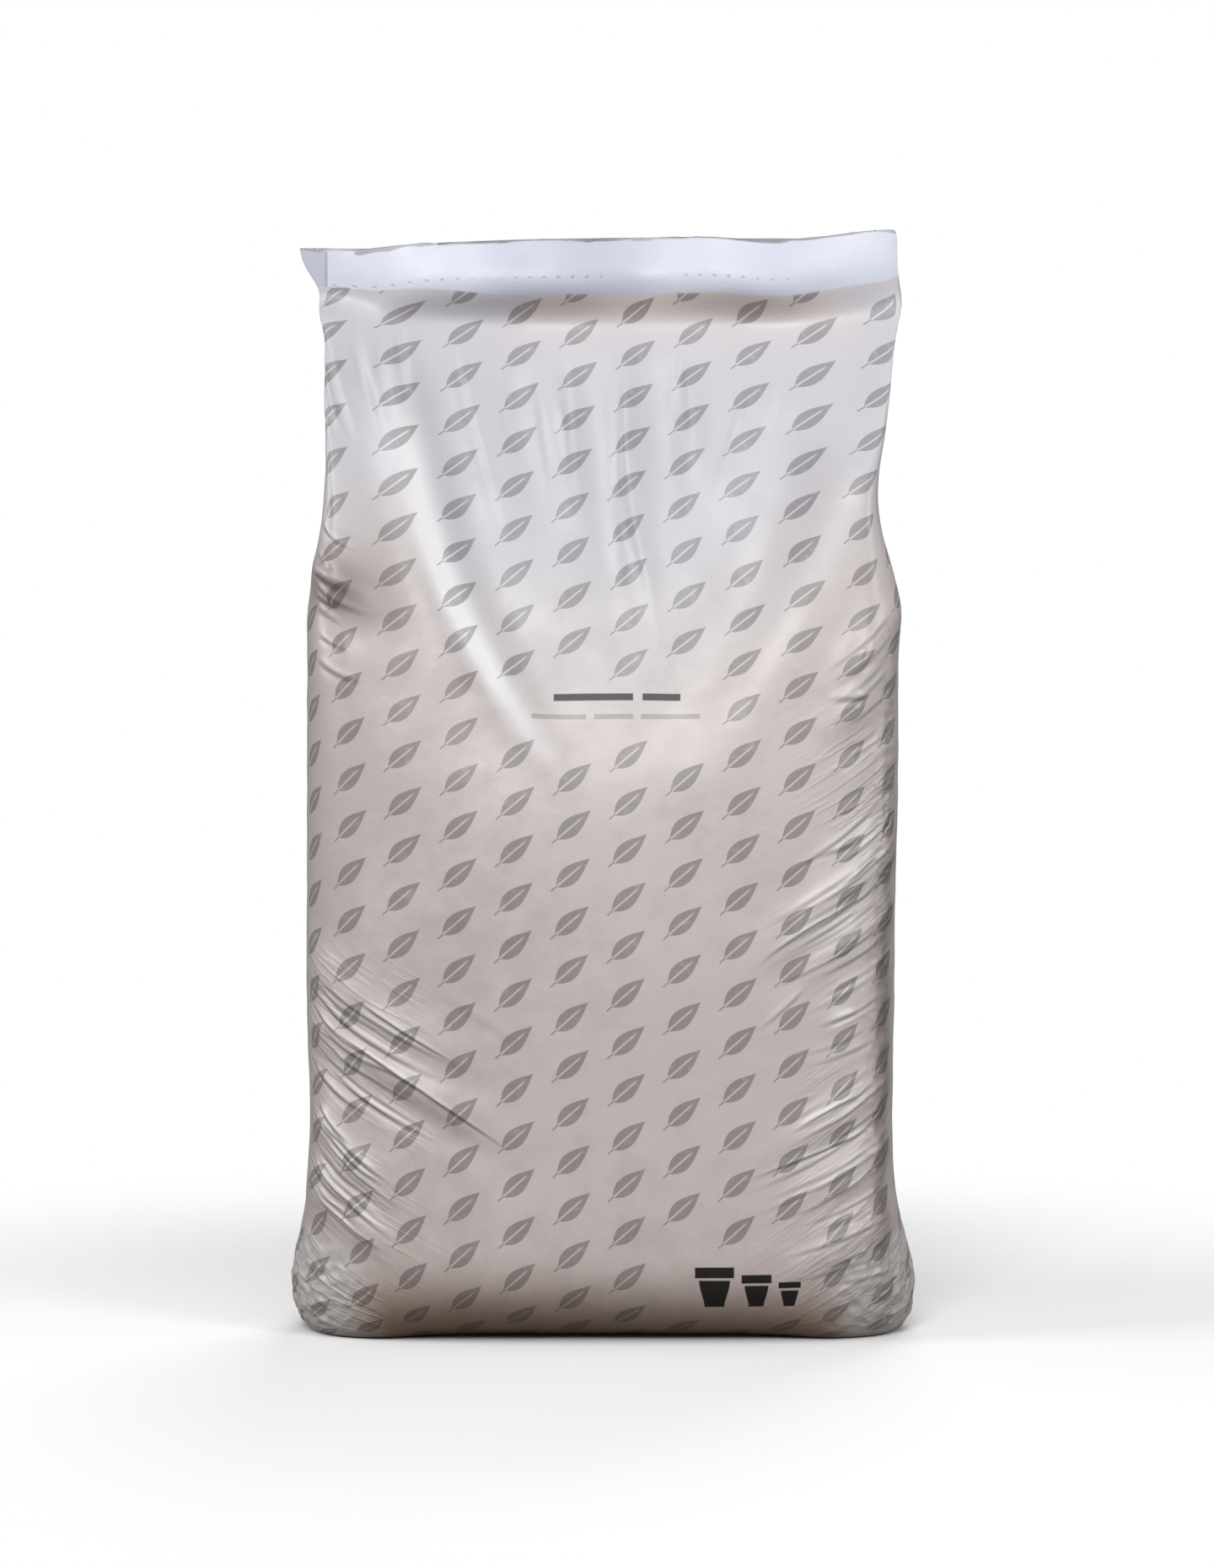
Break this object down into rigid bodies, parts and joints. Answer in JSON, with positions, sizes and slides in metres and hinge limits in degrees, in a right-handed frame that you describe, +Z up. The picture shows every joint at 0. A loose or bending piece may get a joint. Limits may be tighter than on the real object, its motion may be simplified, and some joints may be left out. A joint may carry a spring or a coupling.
{
  "type": "compost bag",
  "caption": "Full upright film bag of loose growing medium, with tucked side gussets, a flat welded header, a slack hollow upper front and tension folds at the sides.",
  "frame": {"origin": "on the floor, under the middle of the bag's bounding box", "axes": "+Z up to the welded header, -Y out of the printed front, +X to the right of someone facing the front"},
  "size_m": [0.4658, 0.2086, 0.816],
  "materials": {
    "film": "satin"
  },
  "bodies": {
    "root": {"sealed_bag": "film"}
  },
  "joints": []
}
